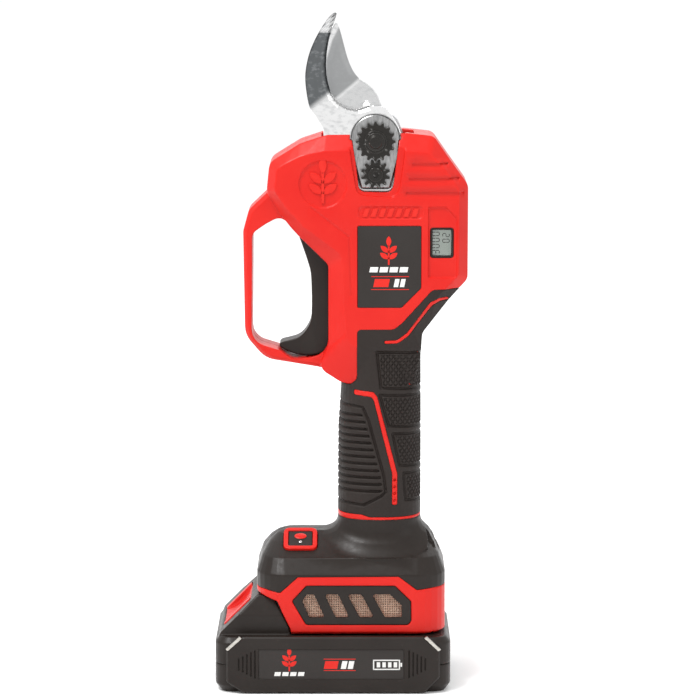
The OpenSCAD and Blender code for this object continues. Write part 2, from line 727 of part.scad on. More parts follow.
module lock_screw() {
    color([0.12, 0.12, 0.12])
        difference() {
            union() {
                pin_y(pivot_x, lock_z, hook_back, nut_back + 3, 4);
                pin_y(pivot_x, lock_z, nut_back + 3, nut_back + 4.8, 7);
            }
            translate([pivot_x, -nut_back - 3.4, lock_z])
                rotate([90, 0, 0])
                    cylinder(h = 3, d = 3.4, $fn = 6);
        }
}

/* Drive */
module head_frame() {
    color([0.6, 0.61, 0.62])
        difference() {
            union() {
                plate(rounded(FRAME), -frame_back, frame_front);
                for (s = HOOK_SCREWS)
                    pin_y(s.x, s.y, frame_front, hook_back, 7);
                pin_z(pivot_x, 0, 228, 244, 22);
                pin_z(pivot_x, 0, stage_high + 0.2, 228, 31);
            }
            pin_y(pivot_x, pivot_z, -20, 30, bolt_d);
            for (s = HOOK_SCREWS)
                pin_y(s.x, s.y, 0, 30, 4);
            pin_z(pivot_x, 0, 220, 250, 9);
            pin_z(pivot_x, 0, 231, 250, 16);
            block([9.6, -12, 244], [24.4, 7.2, 257]);
        }
}
module drive_pinion() {
    color([0.5, 0.5, 0.5]) {
        translate([pivot_x, 0, pinion_z - crown_face / 2 - 0.4])
            linear_extrude(crown_face + 0.8)
                rotate(90)
                    polygon(gear(pinion_teeth, 1, 0.7, 0.95, 0.16, 0));
        pin_z(pivot_x, 0, stage_high - 3, pinion_z - crown_face / 2 - 0.4, 6);
        pin_z(pivot_x, 0, 238.2, 246, 8);
    }
}
module pinion_bearing() {
    color("silver")
        difference() {
            pin_z(pivot_x, 0, 232, 238, 16);
            pin_z(pivot_x, 0, 231, 239, 6.1);
        }
}
module planet_carrier() {
    color([0.55, 0.55, 0.56])
        difference() {
            union() {
                pin_z(pivot_x, 0, stage_high - 3.2, stage_high - 0.4, 23.4);
                for (a = [0 : 120 : 240])
                    translate([pivot_x, 0, 0])
                        rotate([0, 0, a])
                            pin_z(planet_r, 0, stage_low + 1.8, stage_high - 3, 3);
            }
            pin_z(pivot_x, 0, 200, 240, 6);
        }
}
module planet_gear(k) {
    color([0.5, 0.5, 0.52])
        translate([pivot_x, 0, stage_low + 2])
            rotate([0, 0, 120 * k])
                translate([planet_r, 0, 0])
                    difference() {
                        linear_extrude(10)
                            polygon(gear(planet_teeth, planet_module, 0.68, 1.1, 0.07, 15));
                        translate([0, 0, -1])
                            cylinder(h = 20, d = 3.1);
                    }
}
module planet_gear_1() {
    planet_gear(0);
}
module planet_gear_2() {
    planet_gear(1);
}
module planet_gear_3() {
    planet_gear(2);
}
module ring_gear() {
    color([0.4, 0.4, 0.42])
        translate([pivot_x, 0, stage_low])
            difference() {
                cylinder(h = stage_high + 0.2 - stage_low, d = 31);
                translate([0, 0, 1.6])
                    linear_extrude(12.4)
                        polygon(gear(ring_teeth, planet_module, 1.1, 0.68, -0.07, 5));
                translate([0, 0, 13])
                    cylinder(h = 20, d = 28);
                translate([0, 0, -1])
                    cylinder(h = 20, d = 14);
            }
}
module rotor_shaft() {
    color("silver") {
        translate([pivot_x, 0, stage_low + 2])
            linear_extrude(10)
                polygon(gear(sun_teeth, planet_module, 0.68, 1.1, 0.07, 0));
        pin_z(pivot_x, 0, motor_low - 4, stage_low + 2, 4);
    }
}
module rotor_magnets() {
    color([0.25, 0.25, 0.27])
        difference() {
            pin_z(pivot_x, 0, motor_low + 6, motor_high - 8, 13);
            pin_z(pivot_x, 0, motor_low, motor_high, 4);
        }
}
module stator() {
    color([0.72, 0.4, 0.2])
        difference() {
            pin_z(pivot_x, 0, motor_low + 4, motor_high - 6, motor_d - 2.5);
            pin_z(pivot_x, 0, motor_low, motor_high, 14);
            for (a = [0 : 60 : 300])
                translate([pivot_x, 0, motor_low])
                    rotate([0, 0, a])
                        translate([6, -1, 0])
                            cube([5, 2, 60]);
        }
}
module motor_can() {
    color([0.35, 0.36, 0.38])
        difference() {
            pin_z(pivot_x, 0, motor_low + 3, stage_low, motor_d);
            pin_z(pivot_x, 0, motor_low, motor_high - 4, motor_d - 2.4);
            pin_z(pivot_x, 0, motor_low, 220, 5);
            pin_z(pivot_x, 0, motor_high + 2, 220, 12);
        }
}
module motor_cap() {
    color([0.2, 0.2, 0.2])
        difference() {
            union() {
                pin_z(pivot_x, 0, motor_low, motor_low + 3, motor_d);
                pin_z(pivot_x, 0, motor_low - 3, motor_low, motor_d - 2.4);
            }
            pin_z(pivot_x, 0, motor_low - 5, motor_low + 5, 4.1);
        }
}
module control_board() {
    color("darkgreen") {
        block([4, 4, 98], [34, 5.6, 150]);
        for (k = [0 : 2])
            block([7 + 9 * k, -1, 128], [13 + 9 * k, 4, 136]);
        pin_z(12, -2.4, 102, 118, 12);
        pin_z(27, -2.4, 102, 118, 12);
    }
}
module wiring() {
    color([0.6, 0.1, 0.1]) {
        for (k = [-1 : 1])
            tube(path([[pivot_x + 7 * k, -1.4, 138], [pivot_x + 7.6 * k, -3, 144],
                [pivot_x + 8 * k, -6, 149], [pivot_x + 7 * k, -6, 153.6]]), 1.1, 8);
        for (k = [-1, 1])
            tube(path([[27.4 + 1.8 * k, 1, 97], [28.2 + 1.8 * k, -3, 88], [29.4 + 1.8 * k, -6, 76],
                [31.6 + 2 * k, -5 + 2 * k, 64], [36, 4 * k, 56], [36.6, 4 * k, 52.5]]), 1.1, 8);
    }
}
module terminal_block() {
    color([0.1, 0.1, 0.1]) {
        block([34, -13, 34], [44, 13, 52]);
        for (y = [-9, -4, 4, 9])
            block([19, y - 0.4, 34.6], [34, y + 0.4, 37.4]);
    }
}

/* Battery pack */
pack_left = -62.5;
pack_right = pack_left + pack_length;
case_half = pack_depth / 2 - 2;
seam_z = 14.4;
// Pack case without its wedge, shrunk by d, between two heights
module pack_body(d, low, high) {
    half = case_half - d;
    left = pack_left + d;
    right = pack_right - d;
    intersection() {
        loft([box_ring([d, left + 3, right - 3, half - 3, 5], 0),
            box_ring([4, left, right, half, 8 - d], 0),
            box_ring([pack_deck - 3 - d, left, right, half, 8 - d], 0),
            box_ring([pack_deck - d, left + 2.4, right - 2.4, half - 2.4, 5.6], 0)]);
        block([-90, -60, low], [90, 60, high]);
    }
}
// Wedge at the trigger end, shrunk by d, with a chamfer along each top edge
module wedge(d) {
    low = 29.4 - d;
    high = 24 - 1.1 * d;
    intersection() {
        plate(shrunk(WEDGE, d), -low, low);
        rotate([0, -90, 0])
            translate([0, 0, -90])
                linear_extrude(180)
                    polygon([[seam_z, -low], [38, -low], [49, -high], [49, high], [38, low],
                        [seam_z, low]]);
    }
}
module pack_upper_case() {
    color([0.13, 0.13, 0.13])
        difference() {
            union() {
                difference() {
                    union() {
                        pack_body(0, seam_z, 40);
                        wedge(0);
                    }
                    pack_body(2, 0, 40);
                }
                // rail with its two flanges
                block([-24, -14.4, pack_deck - 2], [32, 14.4, 34]);
                block([-24, -19, 33.6], [32, 19, 38]);
            }
            wedge(2.3);
            for (y = [-9, -4, 4, 9])
                block([18, y - 1, 24], [33, y + 1, 39]);
            block([-20, -16, 25], [16, 16, 36]);
            slope_place()
                translate([-9.5, -19, -6])
                    cube([19, 38, 12]);
        }
}
module pack_lower_case() {
    color([0.12, 0.12, 0.12])
        difference() {
            pack_body(0, 0, seam_z);
            pack_body(2, 0, 40);
            for (s = PACK_SCREWS)
                pin_z(s.x, s.y, -1, 8, 3.2);
        }
}
module pack_side_plates() {
    color([0.14, 0.14, 0.14])
        for (rear = [false, true])
            front_or_rear(rear)
                difference() {
                    loft([at_y(rounded(SIDE_PLATE), -case_half),
                        at_y(rounded(SIDE_PLATE), 0.8 - pack_depth / 2),
                        at_y(shrunk(SIDE_PLATE, 0.8), -pack_depth / 2)]);
                    plate(rounded([[-41, 7.4, 0.6], [31.4, 7.4, 0.6], [31.4, 22.8, 0.6], [-41, 22.8, 0.6]]),
                        pack_depth / 2 - 0.5, 50);
                    bars(50);
                    for (k = [0 : 4])
                        for (x = [-43 - 2 * k, 33.4 + 2 * k])
                            block([x, -50, 8 + k], [x + 0.7, 0.6 - pack_depth / 2, 22.4 - k]);
                }
}
module bars(front) {
    plate(BAR_LEFT, pack_depth / 2 - 1.4, front);
    plate(BAR_RIGHT, pack_depth / 2 - 1.4, front);
}
module pack_bars() {
    color([0.75, 0.75, 0.74])
        for (rear = [false, true])
            front_or_rear(rear)
                bars(pack_depth / 2 + 0.3);
}
module pack_cells() {
    color([0.2, 0.35, 0.6])
        for (k = [0 : 4])
            pin_y(-41 + 18.6 * k, 12, -31.4, 31.4, 18.2);
}
module nickel_strips() {
    color("silver")
        for (side = [-1, 1])
            for (k = side > 0 ? [0, 2] : [1, 3])
                block([-46 + 18.6 * k, side * 31.55 - 0.15, 9], [-17.4 + 18.6 * k, side * 31.55 + 0.15, 15]);
}
module pack_board() {
    color("darkgreen") {
        block([-16, -24, 22.4], [44, 24, 23.8]);
        for (y = [-9, -4, 4, 9])
            for (side = [-1, 1])
                block([20, y + side * 0.75 - 0.15, 23.8], [28, y + side * 0.75 + 0.15, 36]);
    }
}
module slope_place() {
    translate([-52.4, 0, 37.4])
        rotate([0, -45.4, 0])
            children();
}
module release_button() {
    color("red")
        slope_place()
            difference() {
                translate([-9.1, -18.6, -5])
                    cube([18.2, 37.2, 5]);
                translate([0.5, 0, 18.4])
                    rotate([90, 0, 0])
                        cylinder(h = 28, d = 42, center = true);
            }
}
module release_spring() {
    color("silver")
        for (y = [-11, 11])
            slope_place()
                tube([for (k = [0 : 36])
                    [2 * cos(30 * k), y + 2 * sin(30 * k), -5.4 - 0.13 * k]], 0.3, 6, [0, 0, 1]);
}
module pack_screws() {
    color("silver")
        for (s = PACK_SCREWS)
            pin_z(s.x, s.y, 2, 10, 3);
}

shell_front();
shell_rear();
grip_front();
grip_rear();
foot_cover_front();
foot_cover_rear();
vent_grille_front();
vent_grille_rear();
vent_mesh();
name_plate();
display_bezel();
display_window();
lcd_panel();
display_board();
trigger();
trigger_pin();
trigger_spring();
trigger_switch();
power_frame();
power_button();
power_board();
hook_blade();
hook_screws();
cutting_blade();
sector_gear();
gear_rivets();
pivot_bushing();
thrust_washer();
pivot_bolt();
toothed_nut();
retainer_plate();
lock_gear();
lock_screw();
head_frame();
drive_pinion();
pinion_bearing();
planet_carrier();
planet_gear_1();
planet_gear_2();
planet_gear_3();
ring_gear();
rotor_shaft();
rotor_magnets();
stator();
motor_can();
motor_cap();
control_board();
wiring();
terminal_block();
housing_screws();
pack_upper_case();
pack_lower_case();
pack_side_plates();
pack_cells();
nickel_strips();
pack_board();
pack_bars();
release_button();
release_spring();
pack_screws();
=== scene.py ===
"""Looks of a battery electric pruner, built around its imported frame. Outlines are in millimetres."""

import json
from math import cos, hypot, pi, radians, sin

import bmesh
import bpy
import numpy as np
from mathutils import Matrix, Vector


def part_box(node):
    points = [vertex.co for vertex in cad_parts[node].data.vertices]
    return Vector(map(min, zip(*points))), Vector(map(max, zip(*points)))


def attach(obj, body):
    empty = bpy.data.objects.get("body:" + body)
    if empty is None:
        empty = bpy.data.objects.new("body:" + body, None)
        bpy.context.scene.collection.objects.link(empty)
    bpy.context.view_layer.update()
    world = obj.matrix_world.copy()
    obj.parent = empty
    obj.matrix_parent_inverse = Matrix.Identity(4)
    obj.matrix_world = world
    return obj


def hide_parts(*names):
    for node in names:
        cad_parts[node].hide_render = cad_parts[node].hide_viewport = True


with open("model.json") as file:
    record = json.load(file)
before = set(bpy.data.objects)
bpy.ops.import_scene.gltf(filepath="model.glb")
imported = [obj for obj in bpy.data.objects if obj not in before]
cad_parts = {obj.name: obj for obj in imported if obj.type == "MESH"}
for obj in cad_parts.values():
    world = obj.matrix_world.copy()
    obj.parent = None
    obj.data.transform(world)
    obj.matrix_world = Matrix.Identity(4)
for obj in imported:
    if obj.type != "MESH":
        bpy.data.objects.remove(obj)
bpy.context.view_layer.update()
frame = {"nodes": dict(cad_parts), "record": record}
MM = 0.001
SLOT = {part["node"]: part["material_slot"] for part in frame["record"]["subparts"]}
BODY = {node: body for body, nodes in frame["record"]["behaviour"]["bodies"].items()
        for node in nodes}


# ---------------------------------------------------------------- outline arithmetic
def box_mm(node):
    low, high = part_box(node)
    return low / MM, high / MM


def inside(outline, x, z):
    """Which points lie inside a closed outline."""
    found = np.zeros(len(x), bool)
    for (ax, az), (bx, bz) in zip(outline, outline[1:] + outline[:1]):
        if az != bz:
            found ^= ((az > z) != (bz > z)) & (x < (bx - ax) * (z - az) / (bz - az) + ax)
    return found


def distance(outline, x, z, closed=True):
    """Distance of each point to a polyline."""
    nearest = np.full(len(x), 1e9)
    for (ax, az), (bx, bz) in zip(outline, outline[1:] + (outline[:1] if closed else [])):
        ux, uz = bx - ax, bz - az
        along = np.clip(((x - ax) * ux + (z - az) * uz) / (ux * ux + uz * uz), 0, 1)
        nearest = np.minimum(nearest, np.hypot(x - ax - along * ux, z - az - along * uz))
    return nearest


def ease(t):
    """Smooth step from 0 to 1."""
    t = np.clip(t, 0, 1)
    return t * t * (3 - 2 * t)


def fade(value, start, length):
    """0 up to start, rising smoothly to 1 over a length."""
    return ease((value - start) / length)


def dip(gap, half_width):
    """1 on a line, falling smoothly to 0 at half_width from it."""
    return ease(1 - np.abs(gap) / half_width)


# ---------------------------------------------------------------- mesh work
WELD = 0.002 * MM
CRISP = radians(35)


def link(name, mesh):
    piece = bpy.data.objects.new(name, mesh)
    bpy.context.scene.collection.objects.link(piece)
    return piece


def settle(piece):
    """Applies the piece's modifiers to its mesh."""
    bpy.context.view_layer.update()
    graph = bpy.context.evaluated_depsgraph_get()
    mesh = bpy.data.meshes.new_from_object(piece.evaluated_get(graph))
    piece.modifiers.clear()
    piece.data = mesh


def joined_copy(node, name):
    """Copy of a CAD node's mesh with its split vertices joined."""
    mesh = frame["nodes"][node].data.copy()
    work = bmesh.new()
    work.from_mesh(mesh)
    bmesh.ops.remove_doubles(work, verts=work.verts, dist=WELD)
    work.to_mesh(mesh)
    work.free()
    mesh.materials.clear()
    return link(name, mesh)


def points_and_normals(mesh):
    count = len(mesh.vertices)
    points = np.empty(count * 3, np.float32)
    normals = np.empty(count * 3, np.float32)
    mesh.vertices.foreach_get("co", points)
    mesh.vertex_normals.foreach_get("vector", normals)
    return points.reshape(-1, 3).astype(float) / MM, normals.reshape(-1, 3).astype(float)


def finish_piece(piece, node, slot=None):
    """Places a new piece on its body and gives it its material."""
    slot = slot or SLOT[node]
    piece.data.materials.clear()
    piece.data.materials.append(MATERIALS[slot])
    for face in piece.data.polygons:
        face.use_smooth = True
    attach(piece, BODY[node])
    return piece


def moulded(node, voxel, rounds, keep, shape=None, tone=None):
    """Replaces a CAD node by a fine copy with softened edges, shaped by a function of its points."""
    piece = joined_copy(node, node + "_look")
    remesh = piece.modifiers.new("remesh", "REMESH")
    remesh.mode = "VOXEL"
    remesh.voxel_size = voxel * MM
    remesh.use_smooth_shade = True
    soft = piece.modifiers.new("soft", "SMOOTH")
    soft.factor = 0.5
    soft.iterations = rounds
    settle(piece)
    if shape:
        points, normals = points_and_normals(piece.data)
        moved = shape(points, normals) * MM
        piece.data.vertices.foreach_set("co", moved.astype(np.float32).ravel())
        piece.data.update()
    fewer = piece.modifiers.new("fewer", "DECIMATE")
    fewer.ratio = keep
    settle(piece)
    if tone:
        points, normals = points_and_normals(piece.data)
        layer = piece.data.attributes.new("tone", "FLOAT", "POINT")
        layer.data.foreach_set("value", tone(points, normals).astype(np.float32))
    finish_piece(piece, node)
    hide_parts(node)


def loft(work, rings):
    """Closes a solid between rings of vertices, with a face at either end."""
    for lower, upper in zip(rings, rings[1:]):
        for i in range(len(lower)):
            j = (i + 1) % len(lower)
            work.faces.new((lower[i], lower[j], upper[j], upper[i]))
    work.faces.new(rings[0][::-1])
    work.faces.new(rings[-1])


def solid_plate(points, front, back, rim):
    """Closed prism between two depths along Y, with a chamfered rim on its front."""
    centre = np.mean(points, axis=0)
    work = bmesh.new()
    rings = []
    for depth, inset in ((back, 0.0), (front + rim, 0.0), (front, rim)):
        ring = []
        for x, z in points:
            step = np.array([x, z]) - centre
            x2, z2 = centre + step * (1 - inset / hypot(*step))
            ring.append(work.verts.new((x2 * MM, depth * MM, z2 * MM)))
        rings.append(ring)
    loft(work, rings)
    bmesh.ops.recalc_face_normals(work, faces=work.faces)
    return work


def joined(name, works):
    """One object from several small solids."""
    total = bmesh.new()
    for work in works:
        part = bpy.data.meshes.new("part")
        work.to_mesh(part)
        work.free()
        total.from_mesh(part)
        bpy.data.meshes.remove(part)
    mesh = bpy.data.meshes.new(name)
    total.to_mesh(mesh)
    total.free()
    return link(name, mesh)


def flat_edges(piece):
    """Keeps edges over the CRISP angle sharp when the piece is shaded smoothly."""
    mesh = piece.data
    work = bmesh.new()
    work.from_mesh(mesh)
    for edge in work.edges:
        if len(edge.link_faces) == 2 and edge.calc_face_angle(0) > CRISP:
            edge.smooth = False
    work.to_mesh(mesh)
    work.free()


# ---------------------------------------------------------------- materials
class Paint:
    """Builds one procedural material around a Principled shader."""

    def __init__(self, name, colour, roughness, metallic=0.0):
        self.material = bpy.data.materials.new(name)
        self.material.use_nodes = True
        self.tree = self.material.node_tree
        self.shader = self.tree.nodes["Principled BSDF"]
        self.colour = (*colour, 1)
        self.roughness = roughness
        self.shader.inputs["Base Color"].default_value = self.colour
        self.shader.inputs["Roughness"].default_value = roughness
        self.shader.inputs["Metallic"].default_value = metallic
        self.place = self.node("ShaderNodeTexCoord").outputs["Object"]
        self.paint = None
        self.bump = None

    def node(self, kind, **values):
        made = self.tree.nodes.new(kind)
        for key, value in values.items():
            setattr(made, key, value)
        return made

    def join(self, source, target):
        self.tree.links.new(source, target)

    def noise(self, per_mm, stretch=(1, 1, 1), detail=3):
        """Noise of about per_mm cells a millimetre, squeezed along the axes of stretch."""
        mapping = self.node("ShaderNodeMapping")
        mapping.inputs["Scale"].default_value = stretch
        made = self.node("ShaderNodeTexNoise")
        made.inputs["Scale"].default_value = per_mm / MM
        made.inputs["Detail"].default_value = detail
        self.join(self.place, mapping.inputs["Vector"])
        self.join(mapping.outputs["Vector"], made.inputs["Vector"])
        return made.outputs["Fac"]

    def ramp(self, source, low, high, start=0.0, end=1.0):
        made = self.node("ShaderNodeMapRange")
        limits = (low, high, start, end)
        for socket, value in zip(("From Min", "From Max", "To Min", "To Max"), limits):
            made.inputs[socket].default_value = value
        self.join(source, made.inputs["Value"])
        return made.outputs["Result"]

    def tint(self, share, colour):
        """Mixes another colour in by a share that varies over the surface."""
        mix = self.node("ShaderNodeMix", data_type="RGBA")
        if self.paint is None:
            mix.inputs["A"].default_value = self.colour
        else:
            self.join(self.paint, mix.inputs["A"])
        mix.inputs["B"].default_value = (*colour, 1)
        self.join(share, mix.inputs["Factor"])
        self.paint = mix.outputs["Result"]
        self.join(self.paint, self.shader.inputs["Base Color"])

    def uneven(self, source, spread):
        """Varies the roughness about its middle value."""
        low, high = self.roughness - spread, self.roughness + spread
        self.join(self.ramp(source, 0.3, 0.7, low, high), self.shader.inputs["Roughness"])

    def relief(self, source, height_mm):
        bump = self.node("ShaderNodeBump")
        bump.inputs["Distance"].default_value = height_mm * MM
        bump.inputs["Strength"].default_value = 1.0
        self.join(source, bump.inputs["Height"])
        if self.bump is not None:
            self.join(self.bump, bump.inputs["Normal"])
        self.bump = bump.outputs["Normal"]
        self.join(self.bump, self.shader.inputs["Normal"])

    def worn_edges(self, colour, amount):
        """Lightens convex edges, where handling has rubbed the surface."""
        point = self.node("ShaderNodeNewGeometry").outputs["Pointiness"]
        self.tint(self.ramp(point, 0.52, 0.62, 0.0, amount), colour)

    def tone(self):
        return self.node("ShaderNodeAttribute", attribute_name="tone").outputs["Fac"]


def moulded_plastic(name, colour, roughness, light, grain):
    paint = Paint(name, colour, roughness)
    paint.shader.inputs["Specular IOR Level"].default_value = 0.22
    paint.tint(paint.ramp(paint.noise(0.05), 0.35, 0.7, 0.0, 0.35), light)
    paint.worn_edges(light, 0.6)
    paint.uneven(paint.noise(0.4), 0.07)
    paint.relief(paint.noise(3.0), grain)
    return paint.material


def machined_steel(name, colour, roughness, stretch, dark):
    paint = Paint(name, colour, roughness, 1.0)
    lines = paint.noise(1.2, stretch, 4)
    paint.tint(paint.ramp(lines, 0.35, 0.7, 0.0, 0.6), dark)
    paint.uneven(paint.noise(0.25), 0.08)
    paint.relief(lines, 0.015)
    return paint.material


def blade_paint(name):
    paint = Paint(name, (0.80, 0.80, 0.80), 0.22, 1.0)
    tone = paint.tone()
    lines = paint.noise(1.6, (1, 1, 0.12), 4)
    scratches = paint.noise(0.6, (0.6, 1, 1), 6)
    # The tone attribute paints a dark reflection into the steel's colour here, and also raises its
    # roughness.
    paint.tint(paint.ramp(tone, 0.0, 1.0, 0.0, 0.95), (0.075, 0.082, 0.086))
    paint.tint(paint.ramp(scratches, 0.5, 0.72, 0.0, 0.4), (0.36, 0.37, 0.38))
    paint.join(paint.ramp(tone, 0.0, 1.0, 0.17, 0.42), paint.shader.inputs["Roughness"])
    paint.relief(lines, 0.008)
    paint.relief(scratches, 0.012)
    return paint.material


def oxide_steel(name):
    paint = Paint(name, (0.022, 0.020, 0.018), 0.28, 0.7)
    paint.worn_edges((0.3, 0.29, 0.28), 0.5)
    paint.uneven(paint.noise(0.8), 0.1)
    paint.relief(paint.noise(2.4), 0.02)
    return paint.material


def clear_window(name):
    paint = Paint(name, (0.93, 0.96, 0.95), 0.06)
    paint.shader.inputs["Transmission Weight"].default_value = 1.0
    paint.shader.inputs["IOR"].default_value = 1.46
    paint.relief(paint.noise(0.3), 0.004)
    return paint.material


def lcd_paint(name):
    paint = Paint(name, (0.40, 0.43, 0.39), 0.35)
    paint.tint(paint.ramp(paint.noise(0.2), 0.3, 0.7, 0.0, 0.4), (0.5, 0.53, 0.48))
    paint.relief(paint.noise(4.0), 0.004)
    return paint.material


def board_paint(name):
    paint = Paint(name, (0.015, 0.13, 0.05), 0.35)
    grid = paint.node("ShaderNodeTexBrick")
    grid.inputs["Scale"].default_value = 0.4 / MM
    for socket, grey in (("Color1", 0), ("Color2", 0.3), ("Mortar", 1)):
        grid.inputs[socket].default_value = (grey, grey, grey, 1)
    paint.join(paint.place, grid.inputs["Vector"])
    paint.tint(paint.ramp(grid.outputs["Color"], 0.2, 1.0, 0.0, 0.5), (0.35, 0.3, 0.08))
    paint.relief(paint.noise(1.5), 0.02)
    return paint.material


def woven_paint(name):
    paint = Paint(name, (0.50, 0.30, 0.21), 0.75)
    paint.tint(paint.ramp(paint.noise(0.8), 0.35, 0.65), (0.70, 0.50, 0.38))
    paint.relief(paint.noise(5.0), 0.05)
    paint.shader.inputs["Sheen Weight"].default_value = 0.25
    return paint.material


def coil_paint(name):
    paint = Paint(name, (0.72, 0.30, 0.14), 0.3, 0.9)
    wave = paint.node("ShaderNodeTexWave", wave_type="BANDS", bands_direction="Z")
    wave.inputs["Scale"].default_value = 0.6 / MM
    paint.join(paint.place, wave.inputs["Vector"])
    paint.tint(wave.outputs["Fac"], (0.4, 0.15, 0.06))
    paint.relief(wave.outputs["Fac"], 0.1)
    return paint.material


def magnet_paint(name):
    paint = Paint(name, (0.12, 0.12, 0.125), 0.5, 0.7)
    paint.tint(paint.ramp(paint.noise(1.0), 0.4, 0.6, 0.0, 0.5), (0.22, 0.22, 0.23))
    paint.relief(paint.noise(2.0), 0.04)
    return paint.material


# Each row: the function that paints it, the material's name, then what that function takes
LOOKS = (
    (moulded_plastic, "red_plastic", (0.55, 0.010, 0.006), 0.36, (0.62, 0.022, 0.013), 0.02),
    (moulded_plastic, "black_rubber", (0.017, 0.012, 0.010), 0.55, (0.026, 0.020, 0.017), 0.05),
    (moulded_plastic, "black_plastic", (0.014, 0.010, 0.008), 0.36, (0.024, 0.019, 0.016), 0.03),
    (moulded_plastic, "grey_panel", (0.022, 0.018, 0.016), 0.5, (0.032, 0.028, 0.026), 0.05),
    (machined_steel, "trim_metal", (0.55, 0.53, 0.49), 0.35, (0.3, 1, 1), (0.3, 0.28, 0.25)),
    (woven_paint, "dust_mesh"),
    (clear_window, "display_glass"),
    (lcd_paint, "lcd"),
    (board_paint, "circuit"),
    (blade_paint, "blade_steel"),
    (oxide_steel, "dark_steel"),
    (machined_steel, "gear_steel", (0.40, 0.40, 0.40), 0.3, (1, 1, 0.2), (0.12, 0.12, 0.12)),
    (machined_steel, "bright_steel", (0.72, 0.72, 0.73), 0.22, (1, 0.2, 1), (0.5, 0.5, 0.5)),
    (machined_steel, "bronze", (0.62, 0.40, 0.16), 0.35, (1, 1, 1), (0.4, 0.24, 0.1)),
    (machined_steel, "cast_aluminium", (0.66, 0.67, 0.68), 0.42, (1, 1, 1), (0.5, 0.5, 0.5)),
    (coil_paint, "copper"),
    (magnet_paint, "magnet"),
    (moulded_plastic, "cell_wrap", (0.03, 0.13, 0.36), 0.3, (0.06, 0.2, 0.45), 0.01),
    (moulded_plastic, "wire", (0.45, 0.03, 0.02), 0.45, (0.6, 0.06, 0.04), 0.02),
    (moulded_plastic, "print_white", (0.75, 0.75, 0.74), 0.5, (0.62, 0.62, 0.6), 0.02),
)
MATERIALS = {name: paint(name, *values) for paint, name, *values in LOOKS}


# ---------------------------------------------------------------- foot covers
# The neck's section is a superellipse: its middle, half sizes, power and root, and mean radius
NECK_X, NECK_HALF_X, NECK_HALF_Y = 19.2, 20.8, 18.5
NECK_POWER, NECK_ROOT, NECK_RADIUS = 2.38, 0.42, 19.6
# Top of the flare, its least and largest radius, the height above which it works, and the
# thickness under the skin that still moves with it
FLARE_TOP, FLARE_RADII, FOOT_SHOULDER, COVER_SKIN = 83.6, (3, 9), 62, 0.8
# Height of the foot's sloping top along X, and away from the middle along Y
ROOF_ALONG = ((-39.4, -35.4, -31.6, -28.4, 40, 42, 45.4, 49),
              (66.2, 72, 75.2, 76.4, 76.4, 75.2, 72, 66.2))
ROOF_ACROSS = ((6, 8.3, 14.3, 25.2), (76.4, 75.2, 72, 66.2))


def roof_height(x, y):
    """Height of the foot's sloping top."""
    return np.minimum(np.interp(x, *ROOF_ALONG), np.interp(np.abs(y), *ROOF_ACROSS))


def flare(points, normals):
    """Hollow curve between the neck and the foot's top, in place of the corner where they meet."""
    x, y, z = points.T
    wall = (np.abs((x - NECK_X) / NECK_HALF_X) ** NECK_POWER
            + np.abs(y / NECK_HALF_Y) ** NECK_POWER) ** NECK_ROOT
    side = np.stack([(x - NECK_X) / NECK_HALF_X ** 2, y / NECK_HALF_Y ** 2], axis=1)
    side /= np.linalg.norm(side, axis=1)[:, None] + 1e-9
    roof = roof_height(x, y)
    out = (wall - 1) * NECK_RADIUS
    up = z - roof
    radius = np.clip(FLARE_TOP - roof, *FLARE_RADII)
    along = (up - out) / radius
    turn = radians(45) * (1 + np.clip(along, -1, 1))
    near = (out > -COVER_SKIN) & (up > -COVER_SKIN) & (z > FOOT_SHOULDER)
    curved = (np.abs(along) < 1) & near
    push = np.where(curved, radius * (1 - np.sin(turn)) - out, 0)
    moved = points.copy()
    moved[:, :2] += side * push[:, None]
    moved[:, 2] += np.where(curved, radius * (1 - np.cos(turn)) - up, 0)
    return moved


# ---------------------------------------------------------------- head
# Louvres: upper edge, lower edge, left end, right end
LOUVRES = [(262.5, 259.6, 34.6, 52.8), (255.4, 252.6, 33.0, 58.4), (248.3, 245.2, 31.4, 60.6)]
LOUVRE_DEPTH, LOUVRE_END = 1.25, 0.8
# Step that runs down the left of the smooth part of the face
STEP_LINE = [(-14.5, 240.5), (4.2, 226), (5.2, 197.5)]
STEP_DEPTH, STEP_HALF = 0.5, 0.8
# The face that carries them lies in front of this depth
FACE_BACK = -15


def head_details(points, normals):
    """Louvres and one shallow step pressed into the front of the head."""
    moved = points.copy()
    x, y, z = points.T
    front = (normals[:, 1] < -0.3) & (y < FACE_BACK)
    for top, bottom, left, right in LOUVRES:
        within = fade(x, left, LOUVRE_END) * ease((right - x) / LOUVRE_END)
        slope = np.clip((z - bottom) / (top - bottom), 0, 1) * (z <= top)
        moved[:, 1] += front * within * slope * LOUVRE_DEPTH
    step = distance(STEP_LINE, x, z, closed=False)
    moved[:, 1] += np.where(front, STEP_DEPTH * dip(step, STEP_HALF), 0)
    return moved


# ---------------------------------------------------------------- grip
GRIP_X, GRIP_RADIUS = 19.5, 20.0
GRIP_DEEPEST = 1.5
# The pads run past the grip's edge, where they have no border
KNURL_PADS = [
    [(17.8, 168.9), (60, 168.4), (60, 149.3), (19.8, 150.9)],
    [(19.3, 147.3), (60, 146.1), (60, 129.3), (23.8, 131.8)],
    [(25.8, 127.7), (60, 126.3), (60, 109.3), (29.3, 111.6)],
    [(31.3, 107.5), (60, 106.4), (60, 91.5), (32.4, 93.8)],
]
PAD_END = 58
PAD_BORDER_DEPTH, PAD_BORDER_HALF, PAD_LAND = 1.2, 1.15, 1.2
